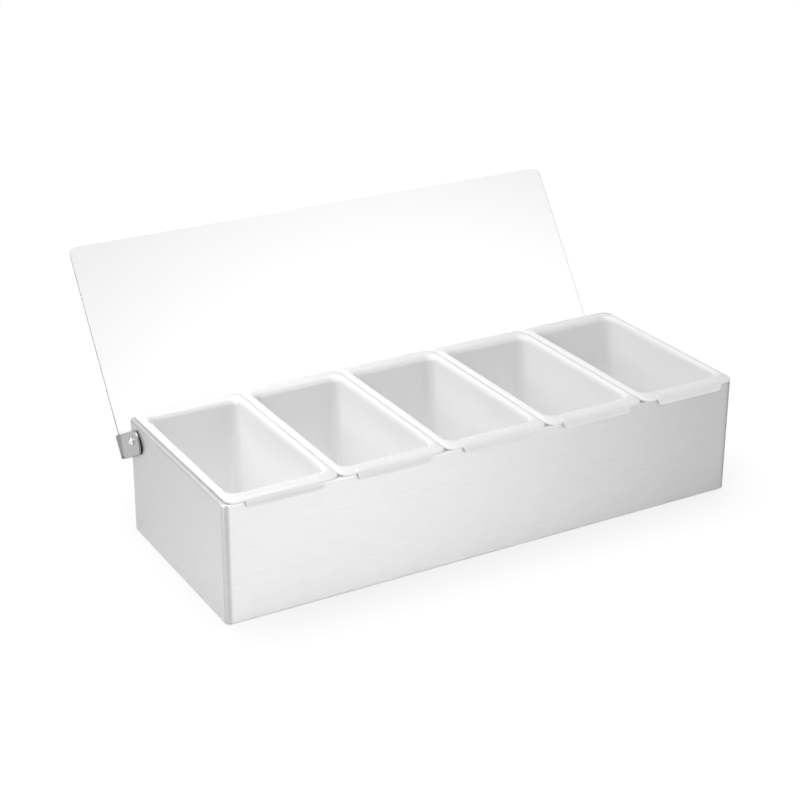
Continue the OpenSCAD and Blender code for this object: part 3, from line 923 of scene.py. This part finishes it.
def open_or_lit(tree, openness):
    """The floor's openness, or 1 on the left, where the lamps stand and no shadow falls."""
    place = add_node(tree, "ShaderNodeTexCoord")
    along = add_node(tree, "ShaderNodeSeparateXYZ", links={"Vector": place.outputs["Object"]})
    lamp_side = add_node(tree, "ShaderNodeMapRange",
                         values={"From Min": lamp_side_full, "From Max": lamp_side_none,
                                 "To Min": 1.0, "To Max": 0.0},
                         links={"Value": along.outputs["X"]})
    return add_node(tree, "ShaderNodeMath", {"operation": "MAXIMUM"},
                    links={0: openness, 1: lamp_side.outputs["Result"]}).outputs[0]


def white_sweep():
    """White paint that the camera, the lid and the steel each see with a glow of its own."""
    material, tree = new_material("white_studio_sweep")
    path = add_node(tree, "ShaderNodeLightPath")
    wide_sky, near_sky = open_sky(tree, wide_reach), open_sky(tree, near_reach)
    lit = glowing_paint(tree, pale_paint, pale_glow)
    in_steel = glowing_paint(tree, pale_paint, dimmed_glow(tree, wide_sky, steel_glow))
    in_camera = glowing_paint(tree, lifted_grey,
                              dimmed_glow(tree, open_or_lit(tree, near_sky), camera_glow))
    mirrored = add_node(tree, "ShaderNodeMixShader",
                        links={0: path.outputs["Is Glossy Ray"],
                               1: lit.outputs[0], 2: in_steel.outputs[0]})
    shown = add_node(tree, "ShaderNodeMixShader",
                     links={0: looked_at(tree, path),
                            1: mirrored.outputs[0], 2: in_camera.outputs[0]})
    return finish_material(material, shown)


floor_paint = white_sweep()

# %% [markdown]
# ## Sheet of floor
# One large square is enough, because the room behind it is just as white.

# %% Floor
floor_half = 6.0


def build_floor():
    corners = [(-floor_half, -floor_half, 0), (floor_half, -floor_half, 0),
               (floor_half, floor_half, 0), (-floor_half, floor_half, 0)]
    mesh = bpy.data.meshes.new("floor")
    mesh.from_pydata(corners, [], [(0, 1, 2, 3)])
    mesh.materials.append(floor_paint)
    sweep = show("floor", mesh)
    return sweep


floor = build_floor()
print("floor", round(floor.dimensions.x, 1), "m wide")

# %% [markdown]
# ## White room
# The camera, the steel and the clear lid all see a plain white room. It hardly lights
# anything. A white room's own light would come from every side and leave the pieces flat,
# so only a faint light from overhead is left of it, and the lamps do the rest.

# %% World
overhead_light = 0.03
overhead_focus = 2.0


def light_from_above(tree):
    """A faint light, strongest straight overhead and gone at the horizon."""
    place = add_node(tree, "ShaderNodeTexCoord")
    height = add_node(tree, "ShaderNodeSeparateXYZ", links={"Vector": place.outputs["Generated"]})
    above = add_node(tree, "ShaderNodeMath", {"operation": "MAXIMUM"},
                     links={0: height.outputs["Z"]})
    above.inputs[1].default_value = 0.0
    lobe = add_node(tree, "ShaderNodeMath", {"operation": "POWER"}, links={0: above.outputs[0]})
    lobe.inputs[1].default_value = overhead_focus
    light = add_node(tree, "ShaderNodeMath", {"operation": "MULTIPLY"}, links={0: lobe.outputs[0]})
    light.inputs[1].default_value = overhead_light
    return light.outputs[0]


def build_world():
    world = bpy.data.worlds.new("white_room")
    world.use_nodes = True
    bpy.context.scene.world = world
    tree = world.node_tree
    tree.nodes.clear()
    path = add_node(tree, "ShaderNodeLightPath")
    seen = add_node(tree, "ShaderNodeMath", {"operation": "MAXIMUM"},
                    links={0: looked_at(tree, path), 1: path.outputs["Is Glossy Ray"]})
    strength = add_node(tree, "ShaderNodeMapRange", values={"To Max": 1.0},
                        links={"Value": seen.outputs[0], "To Min": light_from_above(tree)})
    background = add_node(tree, "ShaderNodeBackground", values={"Color": linear("ffffff")},
                          links={"Strength": strength.outputs["Result"]})
    output = add_node(tree, "ShaderNodeOutputWorld")
    tree.links.new(background.outputs[0], output.inputs["Surface"])
    return world


world = build_world()
print("world", world.name, "with", len(world.node_tree.nodes), "nodes")

# %% [markdown]
# ## Lamps and cards
# Four soft square lamps light the caddy. The one at the left is the strongest and gives the
# walls and the pans their direction, one hangs overhead, a weak one hangs behind, and one
# stands low in front. Two upright grey cards give the steel something darker to mirror, as
# the flags of a studio do. A white well passes light from wall to wall many times, and
# Blender's usual four bounces would leave it dull, so twelve are allowed.

# %% Lamps and cards
caddy_middle = Vector((0, 0, 80 * mm))
bounces_in_a_well = 12


def direction(azimuth, elevation):
    """Unit vector; azimuth turns from the front to the right."""
    a, e = math.radians(azimuth), math.radians(elevation)
    return Vector((math.sin(a) * math.cos(e), -math.cos(a) * math.cos(e), math.sin(e)))


def area_lamp(name, azimuth, elevation, distance, width, power):
    """A square soft lamp aimed at the caddy."""
    toward = direction(azimuth, elevation)
    lamp = bpy.data.lights.new(name, "AREA")
    lamp.size = width
    lamp.energy = power
    holder = show(name, lamp)
    holder.location = toward * distance + caddy_middle
    holder.rotation_euler = toward.to_track_quat("Z", "Y").to_euler()
    return holder


def studio_card(name, azimuth, distance, width, height, colour):
    """An upright card on the floor that faces the caddy and that the camera doesn't see."""
    material, tree = new_material(name + "_paper")
    paper = add_node(tree, "ShaderNodeBsdfDiffuse", values={"Color": linear(colour)})
    finish_material(material, paper)
    mesh = bpy.data.meshes.new(name)
    mesh.from_pydata([(-width / 2, 0, 0), (width / 2, 0, 0),
                      (width / 2, 0, height), (-width / 2, 0, height)], [], [(0, 1, 2, 3)])
    mesh.materials.append(material)
    card = show(name, mesh)
    card.location = direction(azimuth, 0) * distance
    card.rotation_euler.z = math.radians(azimuth)
    card.visible_camera = False
    return card


lamps = [
    area_lamp("side_softbox", azimuth=-90, elevation=38, distance=1.15, width=0.8, power=7.3),
    area_lamp("top_softbox", azimuth=0, elevation=88, distance=1.15, width=0.8, power=5.8),
    area_lamp("back_softbox", azimuth=-150, elevation=50, distance=1.15, width=0.8, power=2.5),
    area_lamp("front_softbox", azimuth=17, elevation=14, distance=1.5, width=0.7, power=5.3)]
cards = [
    studio_card("dark_flag", azimuth=70, distance=1.1, width=1.4, height=0.72, colour="808080"),
    studio_card("grey_card", azimuth=208, distance=1.1, width=0.9, height=0.3, colour="5a5a5a")]
bpy.context.scene.cycles.diffuse_bounces = bounces_in_a_well
print("stage:", ", ".join(piece.name for piece in lamps + cards))

# %% [markdown]
# ## Light that shows in the lid
# A clear sheet in a white room is almost invisible. What gives it away is a pale gradient: a
# brighter light stands where the open sheet mirrors it, with a round edge. A lamp would
# light everything else too, so this is a glowing panel that only reflections and the sheet
# itself meet. It lies where lines from the camera come to once the open sheet has turned
# them back, and it fades to the room's own white at its border, so that it ends unseen.

# %% Light panel
panel_distance = 1.2
panel_half_l, panel_half_w, panel_middle = 0.60, 0.45, 0.10
fade_from_l, fade_from_w = 0.3, 0.15
glow_middle = Vector((0.03, 0.41, 0.0))
glow_inner, glow_outer = 0.357, 0.479
glow_strength = 1.5
panel_steps = 12


def mirrored_in_lid(along, down):
    """Where the camera's line over a place on the open lid comes to, at the panel's distance."""
    point = lid_top + Vector((along, 0, 0)) - down * up_the_lid
    line = (point - camera_place).normalized()
    return point + panel_distance * (line - 2 * line.dot(sheet_normal) * sheet_normal)


def fade_out(tree, value, start, end):
    """1 below start, falling softly to 0 at end."""
    return add_node(tree, "ShaderNodeMapRange", {"interpolation_type": "SMOOTHSTEP"},
                    {"From Min": start, "From Max": end, "To Min": 1.0, "To Max": 0.0},
                    {"Value": value}).outputs["Result"]


def inside_panel(tree):
    """1 in the panel's middle and 0 at its border."""
    place = add_node(tree, "ShaderNodeUVMap")
    parts = add_node(tree, "ShaderNodeSeparateXYZ", links={"Vector": place.outputs["UV"]})
    along = add_node(tree, "ShaderNodeMath", {"operation": "ABSOLUTE"}, links={0: parts.outputs["X"]})
    from_row = add_node(tree, "ShaderNodeMath", {"operation": "SUBTRACT"},
                        links={0: parts.outputs["Y"]})
    from_row.inputs[1].default_value = panel_middle
    down = add_node(tree, "ShaderNodeMath", {"operation": "ABSOLUTE"},
                    links={0: from_row.outputs[0]})
    return add_node(tree, "ShaderNodeMath", {"operation": "MULTIPLY"},
                    links={0: fade_out(tree, along.outputs[0], fade_from_l, panel_half_l),
                           1: fade_out(tree, down.outputs[0], fade_from_w, panel_half_w)}).outputs[0]


def panel_glow(tree):
    """Bright in a round middle, dim round it, and as white as the room at the panel's border."""
    place = add_node(tree, "ShaderNodeUVMap")
    from_middle = add_node(tree, "ShaderNodeVectorMath", {"operation": "DISTANCE"},
                           links={0: place.outputs["UV"]})
    from_middle.inputs[1].default_value = glow_middle
    glow = add_node(tree, "ShaderNodeMapRange",
                    values={"From Min": glow_inner, "From Max": glow_outer,
                            "To Min": glow_strength, "To Max": 0.0},
                    links={"Value": from_middle.outputs["Value"]})
    shown = add_node(tree, "ShaderNodeMapRange", values={"To Min": 1.0},
                     links={"Value": inside_panel(tree), "To Max": glow.outputs["Result"]})
    return shown.outputs["Result"]


def light_panel():
    """A grid of places on the lid, each carried to where the open lid mirrors it."""
    material, tree = new_material("round_light_panel")
    finish_material(material, add_node(tree, "ShaderNodeEmission",
                                       values={"Color": linear("ffffff")},
                                       links={"Strength": panel_glow(tree)}))
    shares = [2 * step / panel_steps - 1 for step in range(panel_steps + 1)]
    places = [(panel_half_l * along, panel_middle + panel_half_w * down)
              for down in shares for along in shares]
    row = panel_steps + 1
    faces = [(k, k + 1, k + row + 1, k + row)
             for k in range(panel_steps * row) if k % row < panel_steps]
    mesh = bpy.data.meshes.new("round_light_panel")
    mesh.from_pydata([mirrored_in_lid(along, down) for along, down in places], [], faces)
    layer = mesh.uv_layers.new(name="UVMap")
    for corner, loop in zip(layer.data, mesh.loops):
        corner.uv = places[loop.vertex_index]
    mesh.materials.append(material)
    return show("round_light_panel", mesh)


panel = light_panel()
panel.visible_camera = False
panel.visible_diffuse = False
panel.visible_shadow = False
print("panel", [round(v, 2) for v in panel.dimensions], "m")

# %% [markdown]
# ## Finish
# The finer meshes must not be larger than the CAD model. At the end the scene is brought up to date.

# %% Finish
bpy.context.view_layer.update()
